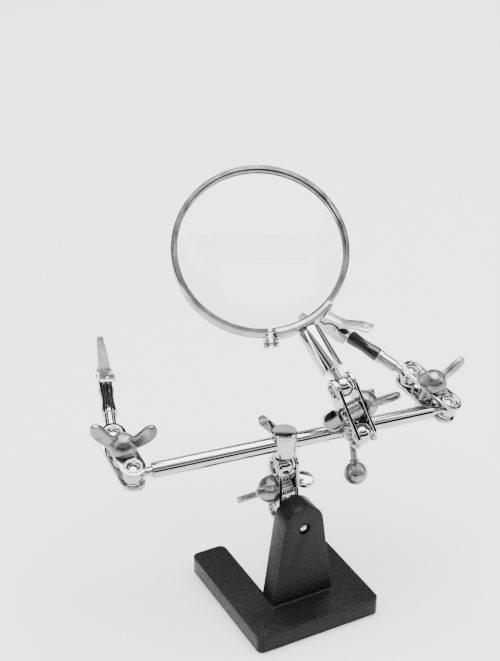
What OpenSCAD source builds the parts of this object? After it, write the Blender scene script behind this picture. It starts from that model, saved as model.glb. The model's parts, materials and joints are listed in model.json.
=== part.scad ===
// Helping hands: a cast base, a cross rod and three ball-jointed clamps
// that carry a magnifying lens and two sprung clips.
// Lengths are millimetres. X runs left to right, Y runs front to back.

/* [Base] */
// Width of the base plate
base_w = 48.4; // [46:0.2:60]
// Depth of the base plate
base_d = 53.4; // [50:0.2:60]
// Thickness of the base plate
base_t = 6.6; // [5:0.2:8]
// Radius of the base plate's corners
base_corner_r = 2.4; // [1:0.2:4]
// Width of the slot that opens to the back
slot_w = 22; // [18:1:24]
// Width of the upright at its foot
upright_foot_w = 23.6; // [20:0.2:28]
// Thickness of the upright
upright_t = 8.2; // [6:0.2:9]
// Radius of the upright's round top
upright_top_r = 7.6; // [6:0.2:9]
// Height of the ball stud above the table
stud_h = 36.6; // [34:0.2:42]

/* [Ball clamps] */
// Diameter of each ball
ball_d = 7.2; // [7:0.1:7.6]
// Diameter of the neck behind a ball
neck_d = 3.2; // [2.6:0.1:3.6]
// Distance between the two balls of a clamp
clamp_pitch = 17.8; // [17:0.1:20]
// Width of a clamp plate
plate_w = 8.4; // [7.6:0.1:9]
// Thickness of a clamp plate
plate_t = 1.2; // [0.8:0.1:1.5]
// Gap between a pair of plates
plate_gap = 5.6; // [5.2:0.1:5.8]
// Diameter of a clamp bolt's shank
bolt_d = 3.6; // [3:0.1:4]
// Diameter of the round paddle that heads a clamp bolt
paddle_d = 7.4; // [6:0.1:8]
// Thickness of that paddle
paddle_t = 1.6; // [1:0.1:2.2]
// Turns of the spring between a pair of plates
spring_turns = 6; // [4:1:7]
// Span of a wing nut over its two wings
wing_span = 22.8; // [20:0.2:24]

/* [Cross rod] */
// Outer diameter of the rod
rod_d = 5.5; // [5:0.1:5.6]
// Distance from the cross block to the left ball
rod_left = 54.4; // [50:0.2:70]
// Distance from the cross block to the right ball
rod_right = 62.9; // [60:0.2:80]
// Turn of the rod about the vertical
rod_turn = -6.6; // [-20:0.1:20]
// Diameter of the cross block and of the slider
block_d = 9; // [8.6:0.1:10]
// Distance from the cross block to the slider
slider_at = 25.2; // [22:0.2:30]
// Turn of the slider about the rod
slider_roll = -109.4; // [-130:0.2:-90]

/* [Magnifier] */
// Diameter of the lens
lens_d = 59.6; // [50:0.2:62]
// Thickness of the lens at its edge
lens_edge_t = 2; // [1.6:0.1:2.6]
// Radius of the lens's two curved faces
lens_face_r = 125; // [90:1:200]
// Width of the rim along the lens axis
rim_w = 5.9; // [5:0.1:7]
// Outer diameter of the rim
rim_d = 62.6; // [62:0.2:66]
// Distance from the handle's ball to the lens centre
handle_reach = 56.4; // [55:0.2:62]
// Diameter of the handle
handle_d = 8.2; // [6:0.1:9]
// Swing of the handle in its clamp
handle_swing = -24.3; // [-35:0.1:-15]
// Twist of the lens about the handle
lens_twist = -9.1; // [-30:0.1:30]

/* [Clips] */
// Distance from a clip rod's ball to the tip of the clip
clip_reach = 54.2; // [52:0.1:56]
// Diameter of a clip rod
clip_rod_d = 4.4; // [4:0.1:5]
// Diameter of the black sleeve
sleeve_d = 5.3; // [5:0.1:6]
// Number of teeth on each jaw
tooth_count = 11; // [4:1:14]

/* [Rest pose] */
// Left clamp: roll, climb and heading
left_clamp = [-1.6, 11.1, 88.8]; // [-180:0.1:180]
// Swing of the left clip rod in its clamp
left_swing = -16.9; // [-40:0.1:40]
// Right clamp: roll, climb and heading
right_clamp = [0, 21.8, 111.6]; // [-180:0.1:180]
// Swing of the right clip rod in its clamp
right_swing = 10.2; // [-40:0.1:40]
// Magnifier clamp: roll, climb and heading
lens_clamp = [66.4, 61.9, 114.7]; // [-180:0.1:180]

/* [Hidden] */

$fn = 64;
running_gap = 0.06;
ball_steps = 22;

chrome = [0.82, 0.83, 0.85];
dull_cast = [0.55, 0.56, 0.57];
black_paint = [0.06, 0.06, 0.07];
black_gloss = [0.03, 0.03, 0.03];
spring_steel = [0.6, 0.61, 0.63];
clear_glass = [0.8, 0.9, 0.95, 0.35];

// ball clamps
plate_in = plate_gap / 2;
plate_out = plate_in + plate_t;
seat_d = 2 * sqrt(pow(ball_d / 2 + running_gap, 2) - pow(plate_in, 2));
bolt_hole_d = bolt_d + 0.3;
shoulder_r = 2.6;
shoulder_t = 0.9;
wing_hub_r = 5;
wing_hub_h = 5.8;
bolt_top = plate_out + wing_hub_h - 1.2;
wing_t = 2.2;
wing_tip_r = 2.9;
spring_wire = 0.6;
spring_r = 3.1;

// blocks on the rod
stud_y = 11.1;
block_low = 4.3;
block_high = 4.9;
block_floor = 1.1;
stud_drop = block_low + plate_w / 2 + 0.6;
rod_z = stud_h + clamp_pitch + stud_drop;
rod_neck = 6.4;
rod_bore_d = 3.8;
rod_tail = 7;
lock_d = 2.4;
lock_start = rod_d / 2 + 0.1;

// base; the origin is under the middle of the upright
plate_y = 9.7;
slot_front = upright_t / 2;
upright_front = slot_front - upright_t;
arc_z = stud_h + 1.4;
foot_half = upright_foot_w / 2;
arc_rise = arc_z - base_t;
flank = atan2(arc_rise, -foot_half) - 90 - asin(upright_top_r / norm([foot_half, arc_rise]));

// magnifier
rim_r = rim_d / 2;
rim_wall = rim_r - lens_d / 2 - running_gap;
rim_lip = 2.3;
lip_t = 0.6;
lip_z = lens_edge_t / 2 + 0.27;
handle_start = 6.6;
saddle_r = rim_r + 1.1;
saddle_arc = 42;
handle_end = handle_reach - rim_r - 1.6;
split_turn = 24;
split_gap = 1.4;
lug_h = 4.2;
lug_w = 3.4;
screw_rise = 2.7;
rim_screw_d = 1.6;

// clips
clip_rod_end = 13.6;
clip_pin_d = 2.6;
clip_pin_end = 20;
sleeve_end = 26.4;
tail_d = 3.4;
hinge_x = 33;
hinge_z = 0.6;
hinge_d = 1.5;
bite_x = 38;
cheek_w = 5.5;
wall = 0.55;

// ---------- where each piece sits ----------
function turned(p, a) = [p.x * cos(a) - p.y * sin(a), p.x * sin(a) + p.y * cos(a), p.z];
function on_rod(s) = [0, stud_y, rod_z] + turned([s, 0, 0], rod_turn);
function slider_ball() =
  on_rod(slider_at) + stud_drop * turned([0, sin(slider_roll), -cos(slider_roll)], rod_turn);

module on_rod_axis(s) {
  translate(on_rod(s)) rotate([0, 0, rod_turn]) children();
}
module in_clamp(ball, pose) {
  translate(ball) rotate([pose[0], -pose[1], pose[2]]) children();
}
module second_ball(swing) {
  translate([clamp_pitch, 0, 0]) rotate([0, 0, swing]) children();
}
module in_lower_clamp() {
  translate([0, stud_y, stud_h]) rotate([0, -90, 0]) children();
}
module in_slider() {
  on_rod_axis(slider_at) rotate([slider_roll, 0, 0]) children();
}
module in_lens_clamp() {
  in_clamp(slider_ball(), lens_clamp) children();
}
module in_handle() {
  in_lens_clamp() second_ball(handle_swing) children();
}
// the handle along +X, the lens axis along Y
module in_lens_frame() {
  in_handle() rotate([lens_twist, 0, 0]) children();
}
module in_left_clamp() {
  in_clamp(on_rod(-rod_left), left_clamp) children();
}
module in_right_clamp() {
  in_clamp(on_rod(rod_right), right_clamp) children();
}
module in_left_clip() {
  in_left_clamp() second_ball(left_swing) children();
}
module in_right_clip() {
  in_right_clamp() second_ball(right_swing) children();
}

// ---------- pieces that repeat ----------
// a cylinder along +X from x = a to x = b
module bar_x(d, a, b) {
  translate([a, 0, 0]) rotate([0, 90, 0]) cylinder(d = d, h = b - a);
}
// a ball at the origin with its neck and tail along +X
module ball_stud(neck_end, tail_d, tail_end) {
  neck_angle = asin(neck_d / ball_d);
  tail = tail_end > neck_end ? [[tail_d / 2, neck_end], [tail_d / 2, tail_end], [0, tail_end]] : [];
  rotate([0, 90, 0]) rotate_extrude() polygon(concat(
    [
      for (i = [0:ball_steps])
      let (a = 180 - i * (180 - neck_angle) / ball_steps)
      [ball_d / 2 * sin(a), ball_d / 2 * cos(a)]
    ],
    [[neck_d / 2, neck_end]],
    tail_end > neck_end ? tail : [[0, neck_end]]
  ));
}
module clamp_plate() {
  difference() {
    linear_extrude(plate_t) difference() {
      union() {
        circle(d = plate_w);
        translate([clamp_pitch, 0]) circle(d = plate_w);
        translate([0, -plate_w / 2]) square([clamp_pitch, plate_w]);
      }
      circle(d = seat_d);
      translate([clamp_pitch, 0]) circle(d = seat_d);
      translate([clamp_pitch / 2, 0]) circle(d = bolt_hole_d);
    }
  }
}
module plate_above() {
  translate([0, 0, plate_in]) clamp_plate();
}
module plate_below() {
  translate([0, 0, -plate_out]) clamp_plate();
}
// a thumb screw: a shank, a shoulder and a flat round paddle on edge
module clamp_bolt(turn) {
  shoulder_low = -plate_out - shoulder_t;
  translate([clamp_pitch / 2, 0, 0]) {
    rotate_extrude() polygon([
      [0, shoulder_low],
      [shoulder_r - 0.3, shoulder_low],
      [shoulder_r, shoulder_low + 0.3],
      [shoulder_r, -plate_out],
      [bolt_d / 2, -plate_out],
      [bolt_d / 2, bolt_top - 0.4],
      [bolt_d / 2 - 0.4, bolt_top],
      [0, bolt_top]
    ]);
    translate([0, 0, shoulder_low + 0.5 - paddle_d / 2]) rotate([90, 0, turn])
      cylinder(d = paddle_d, h = paddle_t, center = true);
  }
}
// a round wire wound into a coil about Z
module coil(r, wire, turns, low, high) {
  steps = 12;
  sides = 5;
  rings = turns * steps;
  function coil_point(i, j) =
    let (
      a = 360 * i / steps,
      b = 360 * j / sides,
      radius = r + wire / 2 * cos(b),
      z = low + (high - low) * i / rings + wire / 2 * sin(b)
    )
    [radius * cos(a), radius * sin(a), z];
  polyhedron(
    points = [for (i = [0:rings], j = [0:sides - 1]) coil_point(i, j)],
    faces = concat(
      [[for (j = [0:sides - 1]) j]],
      [[for (j = [sides - 1:-1:0]) rings * sides + j]],
      [
        for (i = [0:rings - 1], j = [0:sides - 1])
        let (k = (j + 1) % sides)
        [i * sides + j, (i + 1) * sides + j, (i + 1) * sides + k, i * sides + k]
      ]
    )
  );
}
module clamp_spring() {
  end = plate_in - spring_wire / 2 - 0.05;
  translate([clamp_pitch / 2, 0, 0]) coil(spring_r, spring_wire, spring_turns, -end, end);
}
module wing_outline() {
  tip_x = wing_span / 2 - wing_tip_r;
  polygon([[2.8, 1.2], [4.4, 0.9], [tip_x + 1.9, 5.8], [tip_x - 2.1, 10], [2.8, 4.9]]);
  translate([tip_x, 8]) circle(r = wing_tip_r);
}
// a wing nut that sits on the upper plate, its wings turned by angle
module wing_nut(angle) {
  bore_r = bolt_d / 2 + running_gap;
  translate([clamp_pitch / 2, 0, plate_out + 0.03]) rotate([0, 0, angle]) difference() {
    union() {
      rotate_extrude() polygon([
        [0, 0],
        [wing_hub_r, 0],
        [wing_hub_r, 1.6],
        [wing_hub_r - 0.5, 3],
        [wing_hub_r - 1.5, 4.6],
        [wing_hub_r - 3, wing_hub_h - 0.3],
        [0, wing_hub_h]
      ]);
      for (side = [0, 180])
        rotate([90, 0, side]) linear_extrude(wing_t, center = true) wing_outline();
    }
    translate([0, 0, -1]) cylinder(r = bore_r, h = wing_hub_h);
  }
}
// a block on the rod: bore along X, ball stud below, lock screw behind
module rod_block() {
  bore_r = rod_d / 2 + running_gap;
  difference() {
    rotate_extrude() polygon([
      [0, -block_low],
      [block_d / 2 - 0.4, -block_low],
      [block_d / 2, 0.4 - block_low],
      [block_d / 2, block_high - 1.5],
      [block_d / 2 - 0.3, block_high - 1.4],
      [block_d / 2 - 0.3, block_high - 1.1],
      [block_d / 2, block_high - 1],
      [block_d / 2, block_high - 0.4],
      [block_d / 2 - 0.4, block_high],
      [0, block_high]
    ]);
    bar_x(2 * bore_r, -block_d, block_d);
    rotate([0, 90, 90]) cylinder(d = lock_d + 2 * running_gap, h = block_d);
    translate([0, 0, -block_low - 1])
      cylinder(d = neck_d + 2 * running_gap, h = block_floor + 1);
  }
}
// the ball stud that hangs from a block
module block_stud() {
  translate([0, 0, -stud_drop]) rotate([0, -90, 0])
    ball_stud(stud_drop - block_low + block_floor - 0.05, 0, 0);
}
module rod_end_stud() {
  ball_stud(rod_neck, rod_bore_d - 2 * running_gap, rod_neck + rod_tail);
}
module clip_rod() {
  ball_stud(6, clip_rod_d, clip_rod_end);
  bar_x(clip_pin_d, clip_rod_end - 1, clip_pin_end);
  bar_x(clip_rod_d + 0.7, clip_rod_end - 1.4, clip_rod_end);
}
module clip_sleeve() {
  difference() {
    bar_x(sleeve_d, clip_rod_end + 0.1, sleeve_end);
    bar_x(clip_pin_d + 2 * running_gap, clip_rod_end - 1, clip_pin_end + 0.5);
    bar_x(tail_d, clip_pin_end + 0.4, sleeve_end + 1);
  }
}
function teeth(z_root, z_tip) = [
  for (i = [0:2 * tooth_count])
  [bite_x + 0.6 + i * (clip_reach - 0.5 - bite_x - 0.6) / (2 * tooth_count), i % 2 == 0 ? z_root : z_tip]
];
function backwards(list) = [for (i = [len(list) - 1:-1:0]) list[i]];
// a jaw is a side outline cut by a plan outline, hollowed by a smaller plan
module jaw(side, plan, hollow, floor_shift) {
  difference() {
    intersection() {
      rotate([90, 0, 0]) linear_extrude(2 * cheek_w, center = true) polygon(side);
      translate([0, 0, -20]) linear_extrude(40) polygon(concat(plan, mirrored(plan)));
    }
    intersection() {
      translate([0, 0, floor_shift])
        rotate([90, 0, 0]) linear_extrude(2 * cheek_w, center = true) polygon(side);
      translate([0, 0, -20]) linear_extrude(40) polygon(concat(hollow, mirrored(hollow)));
    }
  }
}
function mirrored(points) = [for (p = backwards(points)) [p.x, -p.y]];
module hinge_hole() {
  translate([hinge_x, 0, hinge_z]) rotate([90, 0, 0])
    cylinder(d = hinge_d + 2 * running_gap, h = 2 * cheek_w, center = true);
}
module clip_body() {
  half = cheek_w / 2;
  lower_side = concat(
    [[26.8, -2.7], [26.8, -0.2], [29.5, 0.2], [31.4, 1.7], [33, 2.1], [34.6, 1.7], [36.6, -0.2]],
    teeth(-0.15, -0.75),
    [[clip_reach, -0.5], [clip_reach - 0.3, -1.3], [bite_x, -2.9], [30, -3.2]]
  );
  difference() {
    union() {
      jaw(
        lower_side,
        [[26.7, half], [36.6, half], [39.4, 2], [clip_reach + 1, 1.1]],
        [[27.6, half - wall], [36.3, half - wall], [39.2, 2 - wall], [clip_reach - 0.6, 1.2 - wall]],
        0.6
      );
      bar_x(tail_d - 0.1, clip_pin_end + 0.6, 27.8);
    }
    hinge_hole();
  }
}
module clip_jaw() {
  half = 1.95;
  upper_side = concat(
    [[bite_x, 0.3]],
    teeth(0.25, -0.35),
    [
      [clip_reach - 0.1, 0.1], [clip_reach - 0.2, 0.9], [bite_x, 2.9], [34.4, 3.5], [31, 4.2],
      [25.5, 7.2], [21, 9], [20.4, 9], [20.4, 8.3], [25.3, 6.3], [30.2, 2.8], [31.4, -0.4], [34.6, -0.4]
    ]
  );
  difference() {
    jaw(
      upper_side,
      [[20.3, 1.6], [21, 2.7], [26, 2.7], [30.4, half], [39.4, half], [clip_reach + 1, 1.05]],
      [[29.4, half - wall], [39.2, half - wall], [clip_reach - 0.6, 1.15 - wall]],
      -0.6
    );
    hinge_hole();
    translate([23, 0, 9.2]) sphere(d = 2.6);
  }
}
module clip_pin() {
  translate([hinge_x, 0, hinge_z]) rotate([90, 0, 0]) {
    cylinder(d = hinge_d, h = cheek_w + 0.6, center = true);
    for (side = [-1, 1])
      translate([0, 0, side * (cheek_w / 2 + 0.25)]) cylinder(d = 2.4, h = 0.4, center = true);
  }
}
module clip_spring() {
  translate([hinge_x, 0, hinge_z]) rotate([90, 0, 0]) coil(1.08, 0.45, 4, -0.95, 0.95);
}

// ---------- base ----------
module base_outline() {
  r = base_corner_r;
  x = base_w / 2;
  y = base_d / 2;
  difference() {
    translate([0, plate_y]) {
      for (sx = [-1, 1], sy = [-1, 1]) translate([sx * (x - r), sy * (y - r)]) circle(r = r);
      translate([-x, r - y]) square([base_w, base_d - 2 * r]);
      translate([r - x, -y]) square([base_w - 2 * r, base_d]);
    }
    translate([-slot_w / 2, slot_front]) square([slot_w, base_d]);
    for (side = [0, 1]) mirror([side, 0]) difference() {
      translate([slot_w / 2 - 1, plate_y + y - r]) square([r + 1, r + 1]);
      translate([slot_w / 2 + r, plate_y + y - r]) circle(r = r);
    }
  }
}
module upright_outline() {
  top_x = upright_top_r * cos(flank);
  top_y = arc_rise + upright_top_r * sin(flank);
  polygon([[-foot_half, -1], [-foot_half, 0], [-top_x, top_y], [top_x, top_y], [foot_half, 0], [foot_half, -1]]);
  translate([0, arc_rise]) circle(r = upright_top_r);
}
module base_casting() {
  color(black_paint) difference() {
    union() {
      linear_extrude(base_t) base_outline();
      translate([0, slot_front, base_t]) rotate([90, 0, 0]) linear_extrude(upright_t) upright_outline();
    }
    translate([0, slot_front + 1, stud_h]) rotate([90, 0, 0])
      cylinder(d = neck_d + 2 * running_gap, h = upright_t + 2);
    translate([0, upright_front + 1.4, stud_h]) rotate([90, 0, 0]) cylinder(d = 4.4, h = 3);
  }
}
module base_ball_stud() {
  head_y = upright_front + 1.4;
  color(chrome) {
    translate([0, stud_y, stud_h]) rotate([0, 0, -90])
      ball_stud(stud_y - head_y + 0.3, 0, 0);
    translate([0, head_y - 0.03, stud_h]) rotate([90, 0, 0]) cylinder(d = 4.1, h = 0.7);
  }
}

// ---------- lower clamp ----------
module lower_plate_right() { color(chrome) in_lower_clamp() plate_below(); }
module lower_plate_left() { color(chrome) in_lower_clamp() plate_above(); }
module lower_clamp_bolt() { color(chrome) in_lower_clamp() clamp_bolt(77); }
module lower_clamp_spring() { color(spring_steel) in_lower_clamp() clamp_spring(); }
module lower_wing_nut() { color(dull_cast) in_lower_clamp() wing_nut(-49); }

// ---------- cross block, rod and slider ----------
module cross_ball_stud() { color(chrome) on_rod_axis(0) block_stud(); }
module cross_block() { color(chrome) on_rod_axis(0) rod_block(); }
module cross_lock_screw() {
  lever_x = block_d / 2 + 2.6;
  color(chrome) on_rod_axis(0) rotate([0, 0, 90]) {
    bar_x(lock_d, lock_start, lever_x);
    bar_x(4, block_d / 2 + 0.4, block_d / 2 + 1.6);
    translate([lever_x + 1, 0, 0]) rotate([-42, 0, 0]) rotate([0, 90, 0]) difference() {
      union() {
        translate([-7, 0, 0]) cylinder(d = 3.6, h = 1.5, center = true);
        translate([-3.5, 0, 0]) cube([7, 3.6, 1.5], center = true);
        cylinder(d = 3.6, h = 3, center = true);
      }
      translate([-7, 0, 0]) cylinder(d = 1.4, h = 3, center = true);
    }
  }
}
module cross_rod() {
  color(chrome) on_rod_axis(0) difference() {
    bar_x(rod_d, rod_neck - rod_left, rod_right - rod_neck);
    bar_x(rod_bore_d, -rod_left, rod_right);
  }
}
module slider_block() { color(chrome) in_slider() rod_block(); }
module slider_ball_stud() { color(chrome) in_slider() block_stud(); }
module slider_lock_knob() {
  knob_at = 16.3;
  color(dull_cast) in_slider() rotate([0, 0, 90]) {
    bar_x(lock_d, lock_start, knob_at);
    translate([knob_at, 0, 0]) sphere(d = 8.4);
    bar_x(3.4, knob_at - 4.9, knob_at - 3);
  }
}
module left_rod_stud() { color(chrome) on_rod_axis(-rod_left) rod_end_stud(); }
module right_rod_stud() { color(chrome) on_rod_axis(rod_right) rotate([0, 0, 180]) rod_end_stud(); }

// ---------- magnifier ----------
module lens_plate_front() { color(chrome) in_lens_clamp() plate_below(); }
module lens_plate_back() { color(chrome) in_lens_clamp() plate_above(); }
module lens_clamp_bolt() { color(chrome) in_lens_clamp() clamp_bolt(-11); }
module lens_clamp_spring() { color(spring_steel) in_lens_clamp() clamp_spring(); }
module lens_wing_nut() { color(dull_cast) in_lens_clamp() wing_nut(90); }
module handle_ball_stud() {
  color(chrome) in_handle() ball_stud(handle_start - 0.1, rod_bore_d - 2 * running_gap, handle_start + 6);
}
module handle_tube() {
  color(chrome) in_lens_frame() difference() {
    bar_x(handle_d, handle_start, handle_end);
    bar_x(rod_bore_d, handle_start - 1, handle_start + 7);
  }
}
// a ring of section outline about the lens axis
module about_lens_axis() {
  in_lens_frame() translate([handle_reach, 0, 0]) rotate([90, 0, 0]) children();
}
module rim_saddle() {
  half = rim_w / 2 + 0.66;
  low = rim_r + 0.05;
  grip = rim_r - 1.3;
  color(chrome) {
    about_lens_axis() rotate([0, 0, 180 - saddle_arc / 2]) rotate_extrude(angle = saddle_arc)
      polygon([
        [grip, -half], [saddle_r, -half], [saddle_r, half], [grip, half],
        [grip, half - 0.6], [low, half - 0.6], [low, 0.6 - half], [grip, 0.6 - half]
      ]);
    in_lens_frame() bar_x(handle_d - 1.2, handle_end, handle_reach - rim_r - 0.6);
  }
}
module at_split() {
  rotate([0, 0, 180 + split_turn]) children();
}
module lens_rim() {
  half = rim_w / 2;
  lip = rim_r - rim_lip;
  inner = rim_r - rim_wall;
  color(chrome) about_lens_axis() {
    difference() {
      union() {
        rotate_extrude($fn = 128) polygon([
          [inner, -half], [rim_r, -half], [rim_r, half], [inner, half],
          [inner, lip_z + lip_t], [lip, lip_z + lip_t], [lip, lip_z], [inner, lip_z],
          [inner, -lip_z], [lip, -lip_z], [lip, -lip_z - lip_t], [inner, -lip_z - lip_t]
        ]);
        at_split() translate([rim_r - 0.4, -1.6, -lug_w / 2]) cube([lug_h + 0.4, 3.2, lug_w]);
      }
      at_split() translate([0, -split_gap / 2, -rim_w]) cube([rim_d, split_gap, 2 * rim_w]);
      at_split() translate([rim_r + screw_rise, 0, 0]) rotate([90, 0, 0])
        cylinder(d = rim_screw_d + 2 * running_gap, h = rim_w, center = true);
    }
  }
}
module rim_screw() {
  color(chrome) about_lens_axis() at_split()
    translate([rim_r + screw_rise, 0, 0]) rotate([90, 0, 0]) {
      cylinder(d = rim_screw_d, h = 3.6, center = true);
      translate([0, 0, 1.65]) cylinder(d = 2.9, h = 1);
      translate([0, 0, -2.65]) cylinder(d = 2.9, h = 1, $fn = 6);
    }
}
// a biconvex lens turned about its axis
module lens() {
  steps = 14;
  centre = sqrt(pow(lens_face_r, 2) - pow(lens_d / 2, 2)) - lens_edge_t / 2;
  edge_angle = asin(lens_d / 2 / lens_face_r);
  face = [
    for (i = [0:steps])
    let (a = edge_angle * i / steps)
    [lens_face_r * sin(a), lens_face_r * cos(a) - centre]
  ];
  color(clear_glass) about_lens_axis()
    rotate_extrude($fn = 128) polygon(concat(face, [for (p = backwards(face)) [p.x, -p.y]]));
}

// ---------- left clip arm ----------
module left_plate_lower() { color(chrome) in_left_clamp() plate_below(); }
module left_plate_upper() { color(chrome) in_left_clamp() plate_above(); }
module left_clamp_bolt() { color(chrome) in_left_clamp() clamp_bolt(20); }
module left_clamp_spring() { color(spring_steel) in_left_clamp() clamp_spring(); }
module left_wing_nut() { color(dull_cast) in_left_clamp() wing_nut(67); }
module left_clip_rod() { color(chrome) in_left_clip() clip_rod(); }
module left_sleeve() { color(black_gloss) in_left_clip() clip_sleeve(); }
module left_clip_body() { color(chrome) in_left_clip() clip_body(); }
module left_clip_pin() { color(spring_steel) in_left_clip() clip_pin(); }
module left_clip_spring() { color(spring_steel) in_left_clip() clip_spring(); }
module left_clip_jaw() { color(chrome) in_left_clip() clip_jaw(); }

// ---------- right clip arm ----------
module right_plate_lower() { color(chrome) in_right_clamp() plate_below(); }
module right_plate_upper() { color(chrome) in_right_clamp() plate_above(); }
module right_clamp_bolt() { color(chrome) in_right_clamp() clamp_bolt(-35); }
module right_clamp_spring() { color(spring_steel) in_right_clamp() clamp_spring(); }
module right_wing_nut() { color(dull_cast) in_right_clamp() wing_nut(78); }
module right_clip_rod() { color(chrome) in_right_clip() clip_rod(); }
module right_sleeve() { color(black_gloss) in_right_clip() clip_sleeve(); }
module right_clip_body() { color(chrome) in_right_clip() clip_body(); }
module right_clip_pin() { color(spring_steel) in_right_clip() clip_pin(); }
module right_clip_spring() { color(spring_steel) in_right_clip() clip_spring(); }
module right_clip_jaw() { color(chrome) in_right_clip() clip_jaw(); }

base_casting();
base_ball_stud();
lower_plate_right();
lower_plate_left();
lower_clamp_bolt();
lower_clamp_spring();
lower_wing_nut();
cross_ball_stud();
cross_block();
cross_lock_screw();
cross_rod();
slider_block();
slider_lock_knob();
slider_ball_stud();
lens_plate_front();
lens_plate_back();
lens_clamp_bolt();
lens_clamp_spring();
lens_wing_nut();
handle_ball_stud();
handle_tube();
rim_saddle();
lens_rim();
rim_screw();
lens();
left_rod_stud();
left_plate_lower();
left_plate_upper();
left_clamp_bolt();
left_clamp_spring();
left_wing_nut();
left_clip_rod();
left_sleeve();
left_clip_body();
left_clip_pin();
left_clip_spring();
left_clip_jaw();
right_rod_stud();
right_plate_lower();
right_plate_upper();
right_clamp_bolt();
right_clamp_spring();
right_wing_nut();
right_clip_rod();
right_sleeve();
right_clip_body();
right_clip_pin();
right_clip_spring();
right_clip_jaw();
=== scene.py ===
# %% [markdown]
# # Helping hands with a magnifier
# A cast base holds a cross rod on a ball-jointed clamp. A lens and two sprung clips
# hang from more clamps of the same kind. The CAD frame says where each joint is, so
# every piece below is made in millimetres about its own joint and then put in place.

# %% Load the frame
import json
from math import atan2, cos, pi, radians, sin, sqrt

import bmesh
import bpy
from mathutils import Matrix, Vector


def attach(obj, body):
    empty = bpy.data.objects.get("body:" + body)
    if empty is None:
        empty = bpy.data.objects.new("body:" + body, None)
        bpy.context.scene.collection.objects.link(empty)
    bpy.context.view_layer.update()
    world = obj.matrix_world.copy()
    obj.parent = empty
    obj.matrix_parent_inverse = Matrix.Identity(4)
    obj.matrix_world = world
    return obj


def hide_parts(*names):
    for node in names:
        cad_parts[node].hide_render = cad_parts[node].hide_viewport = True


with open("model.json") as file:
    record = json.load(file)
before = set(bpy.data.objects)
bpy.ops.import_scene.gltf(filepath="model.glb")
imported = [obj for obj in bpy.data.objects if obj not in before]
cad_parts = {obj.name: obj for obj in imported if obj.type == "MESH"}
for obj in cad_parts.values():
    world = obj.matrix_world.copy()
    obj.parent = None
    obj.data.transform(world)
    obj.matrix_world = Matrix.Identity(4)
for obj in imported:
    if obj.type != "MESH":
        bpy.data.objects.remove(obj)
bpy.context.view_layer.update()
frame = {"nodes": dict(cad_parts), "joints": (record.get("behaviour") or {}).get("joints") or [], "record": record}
joints = {joint["name"]: joint for joint in frame["joints"]}

# %% [markdown]
# ## Frames from joints
# A clamp's two balls and its bolt are all joints, so a clamp's own axes come from
# them: X runs from one ball to the other and Z runs along the bolt to the wing nut.

# %% Local frames
MM = 0.001


def joint_at(name):
    return Vector(joints[name]["pos_m"])


def joint_axis(name):
    return Vector(joints[name]["axis"]).normalized()


def local_frame(origin, x_axis, z_axis):
    """A matrix from millimetres in a piece's own axes to metres in the frame."""
    x = x_axis.normalized()
    z = (z_axis - z_axis.dot(x) * x).normalized()
    y = z.cross(x)
    turn = Matrix((x, y, z)).transposed().to_4x4()
    return Matrix.Translation(origin) @ turn @ Matrix.Scale(MM, 4)


def clamp_frame(near, far, nut):
    return local_frame(joint_at(near), joint_at(far) - joint_at(near), joint_axis(nut))


ROD = joint_axis("rod_slide")
FRAMES = {
    "lower": clamp_frame("lower_clamp_tilt", "cross_stud_tilt", "lower_wing_nut_turn"),
    "lens": clamp_frame("lens_clamp_tilt", "handle_tilt", "lens_wing_nut_turn"),
    "left": clamp_frame("left_clamp_swing", "left_clip_swing", "left_wing_nut_turn"),
    "right": clamp_frame("right_clamp_swing", "right_clip_swing", "right_wing_nut_turn"),
    "cross_block": local_frame(joint_at("cross_lock_turn"), ROD, joint_axis("cross_block_turn")),
    "slider": local_frame(joint_at("slider_lock_turn"), ROD, -joint_axis("slider_stud_twist")),
    "handle": local_frame(joint_at("handle_tilt"), joint_axis("handle_twist"), joint_axis("handle_tilt")),
    "base_stud": local_frame(joint_at("base_stud_roll"), Vector((0, -1, 0)), Vector((0, 0, 1))),
    "left_stud": local_frame(joint_at("left_stud_roll"), ROD, Vector((0, 0, 1))),
    "right_stud": local_frame(joint_at("right_stud_roll"), -ROD, Vector((0, 0, 1))),
}
for side in ("left", "right"):
    FRAMES[side + "_clip"] = local_frame(
        joint_at(side + "_clip_swing"), joint_axis(side + "_clip_twist"), joint_axis(side + "_clip_swing")
    )
print(len(FRAMES), "local frames")

# %% [markdown]
# ## Finishes
# Bright plate is nearly a mirror, so its detail is in small changes of roughness and
# very fine polishing marks. The castings are duller, with a sandy grain under the
# plate. The base wears a thick black hammered paint.

# %% Material helpers
def material(name, colour, metallic, roughness):
    """A new node material and its main shader."""
    made = bpy.data.materials.new(name)
    made.use_nodes = True
    shader = made.node_tree.nodes["Principled BSDF"]
    shader.inputs["Base Color"].default_value = (*colour, 1)
    shader.inputs["Metallic"].default_value = metallic
    shader.inputs["Roughness"].default_value = roughness
    return made, shader


def noise(made, scale, detail=2.0, stretch=(1, 1, 1)):
    """A noise pattern fixed to the piece, its size given in metres' reciprocals."""
    nodes, links = made.node_tree.nodes, made.node_tree.links
    place = nodes.new("ShaderNodeTexCoord")
    mapping = nodes.new("ShaderNodeMapping")
    mapping.inputs["Scale"].default_value = stretch
    pattern = nodes.new("ShaderNodeTexNoise")
    pattern.inputs["Scale"].default_value = scale
    pattern.inputs["Detail"].default_value = detail
    links.new(place.outputs["Object"], mapping.inputs["Vector"])
    links.new(mapping.outputs["Vector"], pattern.inputs["Vector"])
    return pattern.outputs["Fac"]


def spread(made, value, low, high, start=0.3, end=0.7):
    """Maps a pattern's value from start..end to low..high."""
    ranged = made.node_tree.nodes.new("ShaderNodeMapRange")
    for name, number in (("From Min", start), ("From Max", end), ("To Min", low), ("To Max", high)):
        ranged.inputs[name].default_value = number
    made.node_tree.links.new(value, ranged.inputs["Value"])
    return ranged.outputs["Result"]


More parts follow.
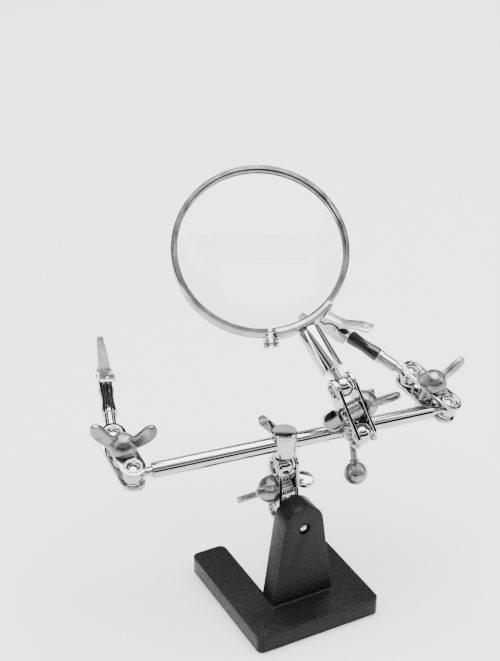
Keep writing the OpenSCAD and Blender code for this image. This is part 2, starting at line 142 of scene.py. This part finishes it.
def tint(made, value, dark, light):
    """A colour ramp between two colours, driven by a pattern."""
    ramp = made.node_tree.nodes.new("ShaderNodeValToRGB")
    ramp.color_ramp.elements[0].position = 0.35
    ramp.color_ramp.elements[0].color = (*dark, 1)
    ramp.color_ramp.elements[1].position = 0.65
    ramp.color_ramp.elements[1].color = (*light, 1)
    made.node_tree.links.new(value, ramp.inputs["Fac"])
    return ramp.outputs["Color"]


def bump(made, shader, value, strength, distance, below=None):
    """Raises the surface by a pattern, on top of another bump if one is given."""
    raised = made.node_tree.nodes.new("ShaderNodeBump")
    raised.inputs["Strength"].default_value = strength
    raised.inputs["Distance"].default_value = distance
    made.node_tree.links.new(value, raised.inputs["Height"])
    if below is not None:
        made.node_tree.links.new(below, raised.inputs["Normal"])
    made.node_tree.links.new(raised.outputs["Normal"], shader.inputs["Normal"])
    return raised.outputs["Normal"]


def link(made, value, shader, socket):
    made.node_tree.links.new(value, shader.inputs[socket])


# %% Metal finishes
def bright_plate():
    """Chrome plate on polished steel."""
    made, shader = material("bright_plate", (0.43, 0.435, 0.435), 1, 0.08)
    link(made, spread(made, noise(made, 260, 4), 0.05, 0.13), shader, "Roughness")
    link(made, tint(made, noise(made, 90), (0.39, 0.395, 0.395), (0.47, 0.475, 0.475)), shader, "Base Color")
    bump(made, shader, noise(made, 900, 3), 0.05, 0.00005)
    return made


def rolled_plate():
    """Plated strip, rolled to shape, so less bright than the turned pieces."""
    made, shader = material("rolled_plate", (0.23, 0.237, 0.235), 1, 0.14)
    link(made, spread(made, noise(made, 300, 4), 0.08, 0.2), shader, "Roughness")
    link(made, tint(made, noise(made, 110), (0.17, 0.176, 0.174), (0.29, 0.297, 0.295)), shader, "Base Color")
    bump(made, shader, noise(made, 700, 3), 0.08, 0.0001)
    return made


def cast_nickel():
    """Dull nickel plate over a small zinc casting."""
    made, shader = material("cast_nickel", (0.42, 0.42, 0.42), 1, 0.3)
    patches = tint(made, noise(made, 240, 4), (0.11, 0.11, 0.108), (0.3, 0.298, 0.294))
    link(made, patches, shader, "Base Color")
    link(made, spread(made, noise(made, 600, 4), 0.2, 0.42), shader, "Roughness")
    grain = bump(made, shader, noise(made, 420, 3), 0.35, 0.0003)
    bump(made, shader, noise(made, 2600, 2), 0.2, 0.00006, grain)
    return made


def clip_sheet():
    """Thin plated sheet, with faint press marks along its length."""
    made, shader = material("clip_sheet", (0.55, 0.56, 0.56), 1, 0.16)
    link(made, spread(made, noise(made, 500, 4), 0.24, 0.4), shader, "Roughness")
    link(made, tint(made, noise(made, 150), (0.44, 0.445, 0.45), (0.54, 0.545, 0.55)), shader, "Base Color")
    bump(made, shader, noise(made, 700, 3), 0.08, 0.0001)
    return made


def bright_wire():
    """Drawn spring wire."""
    made, shader = material("bright_wire", (0.45, 0.45, 0.46), 1, 0.2)
    link(made, spread(made, noise(made, 1200, 2), 0.14, 0.3), shader, "Roughness")
    return made


# %% Paint, plastic and glass
def hammered_paint():
    """Thick black paint with a shallow hammered texture."""
    made, shader = material("hammered_paint", (0.004, 0.004, 0.004), 0, 0.3)
    shader.inputs["Specular IOR Level"].default_value = 0.13
    black = tint(made, noise(made, 1500, 3), (0.002, 0.002, 0.002), (0.006, 0.006, 0.006))
    link(made, black, shader, "Base Color")
    link(made, spread(made, noise(made, 1300, 3), 0.2, 0.42), shader, "Roughness")
    dents = bump(made, shader, noise(made, 1100, 2), 0.5, 0.0004)
    bump(made, shader, noise(made, 4000, 2), 0.2, 0.0001, dents)
    return made


def gloss_black():
    """Black sleeve, dipped and shiny."""
    made, shader = material("gloss_black", (0.003, 0.003, 0.003), 0, 0.08)
    link(made, spread(made, noise(made, 500, 3), 0.05, 0.13), shader, "Roughness")
    bump(made, shader, noise(made, 260, 2), 0.2, 0.0003)
    return made


def lens_glass():
    """Clear crown glass with a few faint wipe marks."""
    made, shader = material("lens_glass", (0.97, 0.99, 0.985), 0, 0.0)
    shader.inputs["Transmission Weight"].default_value = 1
    shader.inputs["IOR"].default_value = 1.5
    link(made, spread(made, noise(made, 60, 5), 0.0, 0.02, 0.45, 0.75), shader, "Roughness")
    return made


PLATE, STRIP, CAST, SHEET, WIRE = bright_plate(), rolled_plate(), cast_nickel(), clip_sheet(), bright_wire()
PAINT, GLOSS, GLASS = hammered_paint(), gloss_black(), lens_glass()
print(len(bpy.data.materials), "materials")

# %% [markdown]
# ## Shaping tools
# Most of these pieces were turned on a lathe, stamped from sheet or cast. A lathe is
# a profile that bmesh spins, a stamping is an outline that is extruded, and every
# sharp edge is broken with a small bevel, because polished metal shows its edges.

# %% Mesh tools
def turned(profile, steps=64, sweep=2 * pi, start=0.0, closed=False):
    """Spins a profile of (radius, height) points about Z."""
    bm = bmesh.new()
    points = [bm.verts.new((radius * cos(start), radius * sin(start), height)) for radius, height in profile]
    edges = [bm.edges.new(pair) for pair in zip(points, points[1:])]
    if closed:
        edges.append(bm.edges.new((points[-1], points[0])))
    whole = abs(sweep - 2 * pi) < 1e-6
    spun = bmesh.ops.spin(
        bm, geom=points + edges, cent=(0, 0, 0), axis=(0, 0, 1), angle=sweep, steps=steps, use_merge=whole
    )
    if not whole and closed:
        last = [item for item in spun["geom_last"] if isinstance(item, bmesh.types.BMVert)]
        bm.faces.new(points)
        bm.faces.new(last)
    bmesh.ops.remove_doubles(bm, verts=bm.verts, dist=1e-4)
    bmesh.ops.recalc_face_normals(bm, faces=bm.faces)
    return bm


def stamped(outline, low, high):
    """Extrudes a closed outline of (x, y) points from one height to another."""
    bm = bmesh.new()
    face = bm.faces.new([bm.verts.new((x, y, low)) for x, y in outline])
    raised = bmesh.ops.extrude_face_region(bm, geom=[face])
    tops = [item for item in raised["geom"] if isinstance(item, bmesh.types.BMVert)]
    bmesh.ops.translate(bm, verts=tops, vec=(0, 0, high - low))
    bmesh.ops.recalc_face_normals(bm, faces=bm.faces)
    return bm


def sharp_edges(bm, degrees=30):
    limit = radians(degrees)
    return [edge for edge in bm.edges if len(edge.link_faces) == 2 and edge.calc_face_angle() > limit]


def bevelled(bm, width, segments=2, edges=None):
    """Rounds the given edges, or every sharp one."""
    bmesh.ops.bevel(
        bm, geom=edges if edges is not None else sharp_edges(bm), offset=width, offset_type="OFFSET",
        affect="EDGES", segments=segments, profile=0.5, material=-1, clamp_overlap=True,
    )
    return bm


def joined(*parts):
    """Puts several shells in one mesh."""
    whole = bmesh.new()
    for part in parts:
        scrap = bpy.data.meshes.new("scrap")
        part.to_mesh(scrap)
        whole.from_mesh(scrap)
        part.free()
        bpy.data.meshes.remove(scrap)
    return whole


def moved(bm, matrix):
    bmesh.ops.transform(bm, matrix=matrix, verts=bm.verts)
    return bm


def along_x(bm):
    """Lays a turned shape down, its axis from Z to X."""
    return moved(bm, Matrix.Rotation(pi / 2, 4, "Y"))


def shift(x=0.0, y=0.0, z=0.0):
    return Matrix.Translation((x, y, z))


def piece(name, bm, place, body, finish, slot_name, *nodes, smooth=40):
    """Makes an object of a shape, puts it in place on its body, and hides the CAD nodes it stands for."""
    moved(bm, place)
    limit = radians(smooth)
    for face in bm.faces:
        face.smooth = True
    for edge in bm.edges:
        edge.smooth = len(edge.link_faces) != 2 or edge.calc_face_angle() < limit
    mesh = bpy.data.meshes.new(name)
    bm.to_mesh(mesh)
    bm.free()
    mesh.materials.append(finish)
    made = bpy.data.objects.new(name, mesh)
    bpy.context.scene.collection.objects.link(made)
    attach(made, body)
    if nodes:
        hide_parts(*nodes)
    return made


def from_cad(node):
    """A clean copy of a CAD node: loose triangles merged and flat faces joined up."""
    bm = bmesh.new()
    bm.from_mesh(frame["nodes"][node].data)
    bmesh.ops.remove_doubles(bm, verts=bm.verts, dist=2e-6)
    bmesh.ops.dissolve_limit(
        bm, angle_limit=radians(0.5), verts=bm.verts, edges=bm.edges, delimit={"NORMAL"}
    )
    return bm


BODY_OF = {node: body for body, nodes in frame["record"]["behaviour"]["bodies"].items() for node in nodes}


def eased(node, width, finish, slot_name, segments=2):
    """A CAD node with its edges broken, and a finish."""
    bm = bevelled(from_cad(node), width * MM, segments)
    return piece(node + "_eased", bm, Matrix.Identity(4), BODY_OF[node], finish, slot_name, node)


# %% [markdown]
# ## The base
# One iron casting: a slotted plate and an upright. Copying the CAD shape keeps its
# sizes, and two bevels do the rest, a wide one in the inside corner at the
# upright's foot and a small one on every outer edge.

# %% Base casting
def base_casting():
    bm = from_cad("base_casting")
    plate_top = min(v.co.z for v in bm.verts if v.co.z > 0.002)
    inner = [
        edge for edge in sharp_edges(bm)
        if all(abs(v.co.z - plate_top) < 1e-5 for v in edge.verts) and not edge.is_convex
    ]
    bevelled(bm, 1.8 * MM, 5, inner)
    bevelled(bm, 0.45 * MM, 3)
    piece("base_painted", bm, Matrix.Identity(4), "base", PAINT, "black_paint", "base_casting")
    print("base:", len(inner), "inside corners filled")


base_casting()

# %% [markdown]
# ## Ball studs
# A ball, a thin neck and a tail that screws into whatever the stud carries. They are
# lathe work, so one profile makes each of them: an arc for the ball, then steps.

# %% Ball studs
BALL_R = 3.6
NECK_R = 1.6
BALL_STEPS = 24
TAIL_CHAMFER = 0.3


def ball_profile(neck_end, tail_r, tail_end):
    start = atan2(NECK_R, sqrt(BALL_R**2 - NECK_R**2))
    angles = [pi - (pi - start) * i / BALL_STEPS for i in range(BALL_STEPS + 1)]
    arc = [(BALL_R * sin(angle), BALL_R * cos(angle)) for angle in angles]
    arc[0] = (0, -BALL_R)
    return arc + [
        (NECK_R, neck_end), (tail_r, neck_end), (tail_r, tail_end - TAIL_CHAMFER),
        (tail_r - TAIL_CHAMFER, tail_end), (0, tail_end),
    ]


def ball_stud(name, place, body, node, neck_end, tail_r, tail_end):
    bm = along_x(turned(ball_profile(neck_end, tail_r, tail_end), 48))
    return piece(name, bm, place, body, PLATE, "chrome", node)


STUD_DROP = (joint_at("cross_lock_turn") - joint_at("cross_stud_tilt")).length / MM
DOWN = Matrix.Rotation(-pi / 2, 4, "Y")
ball_stud("cross_stud_turned", FRAMES["cross_block"] @ shift(z=-STUD_DROP) @ DOWN, "cross_stud",
          "cross_ball_stud", 4.6, 1.55, 5.8)
ball_stud("slider_stud_turned", FRAMES["slider"] @ shift(z=-STUD_DROP) @ DOWN, "slider_stud",
          "slider_ball_stud", 4.6, 1.55, 5.8)
ball_stud("left_stud_turned", FRAMES["left_stud"], "left_stud", "left_rod_stud", 6.4, 1.84, 13.4)
ball_stud("right_stud_turned", FRAMES["right_stud"], "right_stud", "right_rod_stud", 6.4, 1.84, 13.4)
ball_stud("handle_stud_turned", FRAMES["handle"], "handle_stud", "handle_ball_stud", 6.5, 1.84, 12.6)


UPRIGHT_FRONT, RECESS_DEPTH = -4.1, 1.4


def base_stud():
    """The lower stud, peened over in the recess in front of the upright."""
    head = joint_at("base_stud_roll").y / MM - (UPRIGHT_FRONT + RECESS_DEPTH)
    profile = ball_profile(head - 0.02, 2.05, head + 0.5)[:-2]
    profile += [
        (2.05, head + 0.5), (1.45, head + 0.5), (1.4, head + 0.7), (1.15, head + 1.0), (0.7, head + 1.2),
        (0, head + 1.3),
    ]
    place = FRAMES["base_stud"]
    stud = along_x(turned(profile, 48))
    piece("base_stud_turned", stud, place, "base_stud", PLATE, "chrome", "base_ball_stud")
    # A thin ring of black paint over the stud's flat head, round its dome. It is partly paint over the peened end
    # and partly painted shade for the dark of the recess round it.
    section = [(1.46, head + 0.5), (1.46, head + 0.62), (2.1, head + 0.62), (2.1, head + 0.5)]
    ring = along_x(turned(section, 48, closed=True))
    piece("base_stud_paint_and_shade_ring", ring, place, "base_stud", PAINT, "black_paint")


base_stud()

# %% [markdown]
# ## Clamps
# Two stamped plates, a thumb screw with a flat round paddle, a close-wound spring and a
# wing nut. The four clamps are alike, so one function makes each kind of piece.

# %% Clamp plates
PLATE_IN, PLATE_OUT = 2.8, 4.0
PITCH = (joint_at("cross_stud_tilt") - joint_at("lower_clamp_tilt")).length / MM
PLATE_NODES = {
    "lower": ("lower_plate_right", "lower_plate_left"),
    "lens": ("lens_plate_front", "lens_plate_back"),
    "left": ("left_plate_lower", "left_plate_upper"),
    "right": ("right_plate_lower", "right_plate_upper"),
}


def seat_collar():
    """The pressed ring round a ball seat, on the plate's outer face."""
    section = [
        (2.5, 0), (2.55, 0.22), (2.75, 0.36), (3.05, 0.36), (3.3, 0.2), (3.45, 0), (3.2, -0.2), (2.7, -0.2),
    ]
    return turned(section, 40, closed=True)


def clamp_plates(clamp):
    for node, side in zip(PLATE_NODES[clamp], (-1, 1)):
        bm = bevelled(from_cad(node), 0.32 * MM, 3)
        collars = []
        for x in (0, PITCH):
            collar = moved(seat_collar(), shift(z=PLATE_OUT))
            if side < 0:
                moved(collar, Matrix.Rotation(pi, 4, "X"))
            collars.append(moved(collar, FRAMES[clamp] @ shift(x=x)))
        whole = joined(bm, *collars)
        piece(node + "_stamped", whole, Matrix.Identity(4), clamp + "_clamp", PLATE, "chrome", node)


# %% Clamp bolts
BOLT_R = 1.8
BOLT_TOP = PLATE_OUT + 4.6


def thread_profile(low, high, radius, pitch=0.7, depth=0.28):
    """Crests and roots up the side of a screw."""
    turns = int((high - low) / pitch)
    points = []
    for i in range(turns):
        points += [(radius, low + i * pitch), (radius - depth, low + (i + 0.5) * pitch)]
    return points + [(radius, low + turns * pitch)]


SHOULDER_T = 0.9
PADDLE_R = 3.7
PADDLE = [
    (0, -0.8), (3.2, -0.8), (3.5, -0.72), (3.66, -0.5), (PADDLE_R, 0), (3.66, 0.5), (3.5, 0.72), (3.2, 0.8),
    (0, 0.8),
]
PADDLE_TURN = {"lower": 77, "lens": -11, "left": 20, "right": -35}


def clamp_bolt(clamp):
    """A thumb screw whose head is a flat round paddle, set on edge."""
    low = -PLATE_OUT - SHOULDER_T
    profile = [
        (0, low), (2.3, low), (2.6, low + 0.3), (2.6, -PLATE_OUT - 0.1), (2.5, -PLATE_OUT),
        (BOLT_R, -PLATE_OUT),
    ]
    profile += thread_profile(-PLATE_OUT + 0.4, BOLT_TOP - 0.6, BOLT_R)
    profile += [(BOLT_R - 0.5, BOLT_TOP), (0, BOLT_TOP)]
    turn = Matrix.Rotation(radians(PADDLE_TURN[clamp]), 4, "Z")
    paddle = turned(PADDLE, 56)
    moved(paddle, shift(z=low + 0.5 - PADDLE_R) @ turn @ Matrix.Rotation(pi / 2, 4, "X"))
    whole = joined(turned(profile, 40), paddle)
    place = FRAMES[clamp] @ shift(x=PITCH / 2)
    piece(clamp + "_bolt_turned", whole, place, clamp + "_clamp", PLATE, "chrome", clamp + "_clamp_bolt")


# %% Springs
def coil(radius, wire, turns, low, high, steps=28, sides=8):
    """A round wire, swept up a helix by spinning its section as it climbs."""
    bm = bmesh.new()
    ring = bmesh.ops.create_circle(bm, cap_ends=True, segments=sides, radius=wire / 2)
    bmesh.ops.rotate(bm, verts=ring["verts"], cent=(0, 0, 0), matrix=Matrix.Rotation(pi / 2, 3, "X"))
    bmesh.ops.translate(bm, verts=ring["verts"], vec=(radius, 0, low))
    section = list(bm.faces)
    count = int(turns * steps)
    bmesh.ops.spin(bm, geom=section, cent=(0, 0, 0), axis=(0, 0, 1), angle=2 * pi * turns, steps=count,
                   dvec=(0, 0, (high - low) / count))
    bmesh.ops.remove_doubles(bm, verts=bm.verts, dist=1e-5)
    inside = [
        face for face in bm.faces
        if len(face.verts) == sides and all(len(edge.link_faces) > 2 for edge in face.edges)
    ]
    bmesh.ops.delete(bm, geom=inside, context="FACES_ONLY")
    bmesh.ops.recalc_face_normals(bm, faces=bm.faces)
    return bm


def clamp_spring(clamp):
    end = PLATE_IN - 0.35
    piece(clamp + "_spring_wound", coil(3.1, 0.6, 7, -end, end), FRAMES[clamp] @ shift(x=PITCH / 2),
          clamp + "_clamp", WIRE, "spring_steel", clamp + "_clamp_spring")


# %% [markdown]
# A wing nut is a casting: a domed hub and two ears that rise from it. The ear starts
# as a flat outline, gets its thickness by extrusion, and a bevel rounds its edges,
# as a casting's are.

# %% Wing nuts
WING_TURN = {"lower": -49, "lens": 90, "left": 67, "right": 78}
HUB = [
    (1.86, 0), (4.5, 0), (4.85, 0.2), (4.98, 0.7), (4.9, 1.6), (4.6, 2.7), (4.0, 3.8), (3.2, 4.7), (2.2, 5.4),
    (1.1, 5.75), (0, 5.8), (0, 4.9), (1.86, 4.9),
]
EAR = [
    (2.6, 1.1), (5.0, 1.0), (7.6, 2.6), (9.6, 4.4), (11.0, 6.6), (11.3, 8.8), (10.4, 10.4), (8.8, 10.7),
    (7.2, 9.7), (5.6, 7.8), (4.0, 5.8), (2.4, 4.9),
]


def ear():
    bm = stamped(EAR, -1.1, 1.1)
    bevelled(bm, 0.7, 4)
    return moved(bm, Matrix.Rotation(pi / 2, 4, "X"))


def wing_nut(clamp):
    hub = turned(HUB, 48)
    ears = [ear(), moved(ear(), Matrix.Rotation(pi, 4, "Z"))]
    turn = Matrix.Rotation(radians(WING_TURN[clamp]), 4, "Z")
    place = FRAMES[clamp] @ shift(x=PITCH / 2, z=PLATE_OUT + 0.05) @ turn
    piece(clamp + "_wing_nut_cast", joined(hub, *ears), place, clamp + "_wing_nut", CAST, "dull_cast",
          clamp + "_wing_nut")


for clamp in ("lower", "lens", "left", "right"):
    clamp_plates(clamp)
    clamp_bolt(clamp)
    clamp_spring(clamp)
    wing_nut(clamp)
print("four clamps, balls", round(PITCH, 2), "mm apart")

# %% [markdown]
# ## Rod, blocks and their lock screws
# The tube is turned with rounded ends. The two blocks keep the CAD shape, whose cross
# bore has to fit the tube, with their edges eased.

# %% Cross rod and blocks
def tube(name, place, body, node, outer, inner, low, high):
    ease = 0.35
    profile = [(inner, low), (outer - ease, low), (outer - 0.1, low + 0.1), (outer, low + ease),
               (outer, high - ease),
               (outer - 0.1, high - 0.1), (outer - ease, high), (inner, high)]
    piece(name, along_x(turned(profile, 56, closed=True)), place, body, PLATE, "chrome", node)


LEFT_END = (joint_at("left_stud_roll") - joint_at("cross_lock_turn")).dot(ROD) / MM
RIGHT_END = (joint_at("right_stud_roll") - joint_at("cross_lock_turn")).dot(ROD) / MM
tube("cross_rod_turned", FRAMES["cross_block"], "cross_rod", "cross_rod", 2.75, 1.9, LEFT_END + 6.4,
     RIGHT_END - 6.4)
eased("cross_block", 0.22, PLATE, "chrome", 3)
eased("slider_block", 0.22, PLATE, "chrome", 3)
eased("cross_lock_screw", 0.2, PLATE, "chrome")

# %% Ball knob
KNOB_STEPS = 28


def lock_knob():
    centre, radius, stem = 16.3, 4.2, 1.2
    start = atan2(1.7, sqrt(radius**2 - 1.7**2))
    angles = [start + (pi - start) * i / KNOB_STEPS for i in range(KNOB_STEPS + 1)]
    arc = [(radius * sin(angle), centre - radius * cos(angle)) for angle in angles]
    arc[-1] = (0, centre + radius)
    profile = [(0, 2.9), (stem, 2.9), (stem, 11.2), (1.7, 11.5)] + arc
    bm = moved(along_x(turned(profile, 48)), Matrix.Rotation(pi / 2, 4, "Z"))
    piece("slider_knob_turned", bm, FRAMES["slider"], "slider_lock", CAST, "dull_cast", "slider_lock_knob")


lock_knob()

# %% [markdown]
# ## The magnifier
# The rim is a rolled channel, split beside the handle and pulled shut by one screw.
# A saddle strap joins it to the handle. The lens is biconvex: two arcs of one large
# radius, spun about the lens axis.

# %% Lens frame
LENS_TWIST = radians(-9.1)
REACH = 56.4
RIM_R, RIM_HALF = 31.3, 2.95
SPLIT = radians(24)
SADDLE = radians(42)
SPLIT_GAP = 1.4
in_lens_plane = (
    FRAMES["handle"] @ Matrix.Rotation(LENS_TWIST, 4, "X") @ shift(x=REACH) @ Matrix.Rotation(pi / 2, 4, "X")
)


# %% Rim, saddle and handle
def lens_rim():
    h, wall, lip = RIM_HALF, RIM_R - 1.44, RIM_R - 2.3
    seat = 1.27
    profile = [
        (wall, h - 0.2), (wall + 0.2, h), (RIM_R - 0.4, h), (RIM_R, h - 0.4), (RIM_R, h - 1.0),
        (RIM_R - 0.3, h - 1.25), (RIM_R - 0.3, h - 1.6), (RIM_R, h - 1.85), (RIM_R, 1.85 - h),
        (RIM_R - 0.3, 1.6 - h), (RIM_R - 0.3, 1.25 - h),
        (RIM_R, 1.0 - h), (RIM_R, 0.4 - h), (RIM_R - 0.4, -h), (wall + 0.2, -h), (wall, 0.2 - h),
        (wall, -seat - 0.6), (lip + 0.2, -seat - 0.6), (lip, -seat - 0.4), (lip, -seat - 0.1),
        (lip + 0.1, -seat), (wall, -seat), (wall, seat), (lip + 0.1, seat), (lip, seat + 0.1),
        (lip, seat + 0.4), (lip + 0.2, seat + 0.6), (wall, seat + 0.6),
    ]
    gap = SPLIT_GAP / 2 / RIM_R
    band = turned(profile, 160, 2 * pi - 2 * gap, pi + SPLIT + gap, closed=True)
    lugs = []
    for side in (-1, 1):
        lug = stamped([(-1.7, -0.45), (1.7, -0.45), (1.7, 0.45), (-1.7, 0.45)], RIM_R - 0.4, RIM_R + 4.2)
        bevelled(lug, 0.25, 3)
        moved(lug, Matrix.Rotation(pi / 2, 4, "Y"))
        moved(lug, Matrix.Rotation(pi + SPLIT, 4, "Z") @ shift(y=side * (SPLIT_GAP / 2 + 0.45)))
        lugs.append(lug)
    piece("lens_rim_rolled", joined(band, *lugs), in_lens_plane, "magnifier", STRIP, "chrome", "lens_rim")


def rim_saddle():
    h, low, high, grip = RIM_HALF + 0.66, RIM_R + 0.05, RIM_R + 1.1, RIM_R - 1.3
    strap = turned(
        [(grip, -h), (high - 0.5, -h), (high - 0.1, 0.4 - h), (high, 1.0 - h), (high, h - 1.0),
         (high - 0.1, h - 0.4), (high - 0.5, h), (grip, h), (grip, h - 0.6), (low, h - 0.6), (low, 0.6 - h),
         (grip, 0.6 - h)],
        40, SADDLE, pi - SADDLE / 2, closed=True)
    bevelled(strap, 0.2, 2, sharp_edges(strap, 60))
    post = along_x(turned([(0, -1.6), (3.5, -1.6), (3.5, -0.4), (3.2, 0.5), (2.6, 1.0), (0, 1.0)], 48))
    moved(post, Matrix.Rotation(-pi / 2, 4, "X") @ shift(x=-RIM_R - 1.6))
    whole = joined(strap, post)
    piece("rim_saddle_pressed", whole, in_lens_plane, "magnifier", STRIP, "chrome", "rim_saddle")


def lens():
    face_r, lens_r, edge = 125.0, 29.8, 2.0
    centre = sqrt(face_r**2 - lens_r**2) - edge / 2
    widest = atan2(lens_r, sqrt(face_r**2 - lens_r**2))
    face = [(face_r * sin(widest * i / 24), face_r * cos(widest * i / 24) - centre) for i in range(25)]
    profile = face + [(r, -z) for r, z in reversed(face)]
    piece("lens_ground", turned(profile, 128), in_lens_plane, "magnifier", GLASS, "glass", "lens", smooth=30)


def handle():
    """A thick tube with a thin rolled flange at its lower end."""
    low, high, r = 6.6, REACH - RIM_R - 1.6, 4.1
    profile = [
        (1.9, low), (r + 0.1, low), (r + 0.25, low + 0.15), (r + 0.25, low + 0.45), (r, low + 0.65),
        (r, high - 1.0), (r - 0.3, high - 0.3), (r - 1.0, high), (1.9, high),
    ]
    tube_shape = along_x(turned(profile, 64, closed=True))
    piece("handle_turned", tube_shape, handle_place, "magnifier", PLATE, "chrome", "handle_tube")


lens_rim()
rim_saddle()
lens()
handle_place = FRAMES["handle"] @ Matrix.Rotation(LENS_TWIST, 4, "X")
handle()
eased("rim_screw", 0.15, PLATE, "chrome")

# %% [markdown]
# ## Clips
# Each arm ends in a spring clip of pressed sheet on a short rod, with a black sleeve
# over the joint.

# %% Clip rods and sleeves
def clip_rod(side):
    rod_r = 2.2
    ball = ball_profile(6, rod_r, 20)[:-4]
    profile = ball + [
        (NECK_R, 6), (rod_r - 0.3, 6), (rod_r, 6.3), (rod_r, 12.2), (2.55, 12.3), (2.55, 13.5), (1.3, 13.6),
        (1.3, 20), (0, 20),
    ]
    place, node = FRAMES[side + "_clip"], side + "_clip_rod"
    piece(node + "_turned", along_x(turned(profile, 48)), place, node, PLATE, "chrome", node)


def sleeve(side):
    profile = [
        (1.4, 13.75), (2.35, 13.75), (2.62, 14.05), (2.65, 15.6), (2.4, 18.0), (2.26, 20.2), (2.4, 22.6),
        (2.65, 24.8), (2.62, 26.1), (2.35, 26.4), (1.7, 26.4), (1.7, 20.6), (1.4, 20.4),
    ]
    shape = along_x(turned(profile, 48, closed=True))
    piece(side + "_sleeve_dipped", shape, FRAMES[side + "_clip"], side + "_clip", GLOSS, "black_gloss",
          side + "_sleeve")


HINGE_X, HINGE_Z = 33, 0.6


def clip_spring(side):
    place = FRAMES[side + "_clip"] @ shift(x=HINGE_X, z=HINGE_Z) @ Matrix.Rotation(pi / 2, 4, "X")
    wound = coil(1.08, 0.45, 4, -0.95, 0.95, 20)
    piece(side + "_clip_spring_wound", wound, place, side + "_clip", WIRE, "spring_steel",
          side + "_clip_spring")


for side in ("left", "right"):
    clip_rod(side)
    sleeve(side)
    clip_spring(side)
    eased(side + "_clip_body", 0.12, SHEET, "clip_steel")
    eased(side + "_clip_jaw", 0.12, SHEET, "clip_steel")
    eased(side + "_clip_pin", 0.1, SHEET, "spring_steel")

# %% [markdown]
# ## Studio
# A pale floor, a large soft light overhead and two cards of light at the sides. The
# sky is dark near the horizon and again higher up, with a bright band between, because
# chrome looks like chrome only when it has something dark to reflect.

# %% Floor
def floor():
    bm = bmesh.new()
    bmesh.ops.create_grid(bm, x_segments=1, y_segments=1, size=4)
    bmesh.ops.translate(bm, verts=bm.verts, vec=(0, 0, -0.0003))
    mesh = bpy.data.meshes.new("floor")
    bm.to_mesh(mesh)
    bm.free()
    made, shader = material("floor_white", (0.9, 0.9, 0.9), 0, 0.8)
    mesh.materials.append(made)
    ground = bpy.data.objects.new("floor", mesh)
    bpy.context.scene.collection.objects.link(ground)


floor()


# %% Sky
def sky():
    world = bpy.data.worlds.new("studio")
    bpy.context.scene.world = world
    world.use_nodes = True
    nodes, links = world.node_tree.nodes, world.node_tree.links
    place = nodes.new("ShaderNodeTexCoord")
    split = nodes.new("ShaderNodeSeparateXYZ")
    ramp = nodes.new("ShaderNodeValToRGB")
    links.new(place.outputs["Generated"], split.inputs["Vector"])
    links.new(split.outputs["Z"], ramp.inputs["Fac"])
    stops = [
        (0.0, 0.012), (0.36, 0.01), (0.41, 1.5), (0.56, 1.7), (0.6, 0.012), (0.72, 0.01), (0.78, 0.8),
        (1.0, 1.2),
    ]
    elements = ramp.color_ramp.elements
    elements[0].position, elements[1].position = stops[0][0], stops[-1][0]
    for position, level in stops[1:-1]:
        elements.new(position)
    for element, (position, level) in zip(elements, stops):
        element.position = position
        element.color = (level, level, level, 1)
    links.new(ramp.outputs["Color"], nodes["Background"].inputs["Color"])
    nodes["Background"].inputs["Strength"].default_value = 1.0


sky()


# %% Lights
def soft_light(name, place, aim, size, power):
    data = bpy.data.lights.new(name, "AREA")
    data.shape = "RECTANGLE"
    data.size, data.size_y = size
    data.energy = power
    lamp = bpy.data.objects.new(name, data)
    lamp.location = place
    lamp.rotation_euler = (Vector(aim) - Vector(place)).to_track_quat("-Z", "Y").to_euler()
    bpy.context.scene.collection.objects.link(lamp)


AIM = (0.1, 0.15, 0.05)
soft_light("overhead", (0.2, 0.35, 1.9), AIM, (2.0, 2.0), 140)
soft_light("left_card", (-0.75, 0.1, 0.35), AIM, (0.15, 0.9), 3)
soft_light("right_card", (0.7, -0.35, 0.5), AIM, (0.2, 0.8), 4)

# %% Camera
def camera():
    data = bpy.data.cameras.new("camera")
    data.sensor_width = 36
    data.lens = 81.6
    data.clip_start, data.clip_end = 0.01, 20
    eye = bpy.data.objects.new("camera", data)
    azimuth, pitch, roll = radians(-27.97), radians(29.22), radians(0.27)
    eye.matrix_world = (
        Matrix.Translation((-0.2132, -0.3648, 0.3493))
        @ Matrix.Rotation(azimuth, 4, "Z")
        @ Matrix.Rotation(pi / 2 - pitch, 4, "X")
        @ Matrix.Rotation(roll, 4, "Z")
    )
    bpy.context.scene.collection.objects.link(eye)
    bpy.context.scene.camera = eye


camera()
